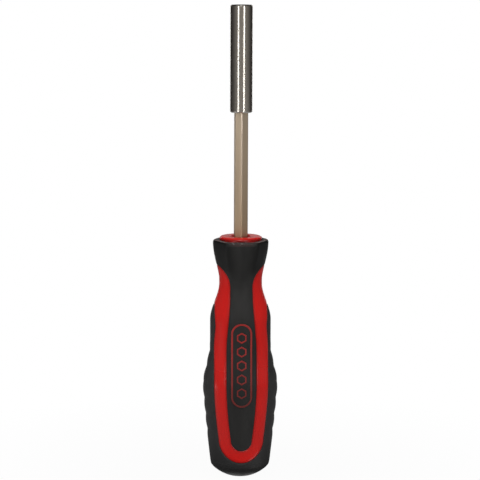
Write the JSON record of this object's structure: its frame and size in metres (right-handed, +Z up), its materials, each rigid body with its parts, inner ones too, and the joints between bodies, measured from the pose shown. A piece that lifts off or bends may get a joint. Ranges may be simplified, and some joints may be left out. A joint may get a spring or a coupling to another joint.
{
  "type": "bit holder screwdriver",
  "caption": "Bit holder screwdriver with a magnetic hex bit socket in a round steel sleeve, a hexagonal shaft and a contoured red and black grip handle with an anti-roll collar.",
  "frame": {"origin": "centre of the flat foot under the domed base, on the shaft's axis", "axes": "+Z up along the shaft towards the mouth of the bit socket; -Y is the front, where the badge is; +X is the right side seen from the front"},
  "size_m": [0.0356, 0.03, 0.225],
  "materials": {
    "shaft_nickel": "satin warm nickel plating",
    "sleeve_steel": "turned stainless steel, satin",
    "magnet_plating": "nickel-plated magnet",
    "spring_steel": "drawn spring wire",
    "core_red": "moulded red plastic, semi-gloss",
    "collar_black": "fine moulded grain, satin black",
    "palm_black": "soft moulded grip, matte black",
    "badge_red": "red inlay lines on a black plate"
  },
  "bodies": {
    "driver": {"hex_shaft": "shaft_nickel", "bit_sleeve": "sleeve_steel", "holding_magnet": "magnet_plating", "handle_core": "core_red", "collar_grip": "collar_black", "palm_grip": "palm_black", "front_badge": "badge_red"},
    "spring_ring": {"retaining_ring": "spring_steel"}
  },
  "joints": [
    {"name": "ring_turn", "type": "hinge", "parent": "driver", "child": "spring_ring", "pos_m": [0, 0, 0.2205], "axis": [0, 0, 1], "continuous": true}
  ]
}
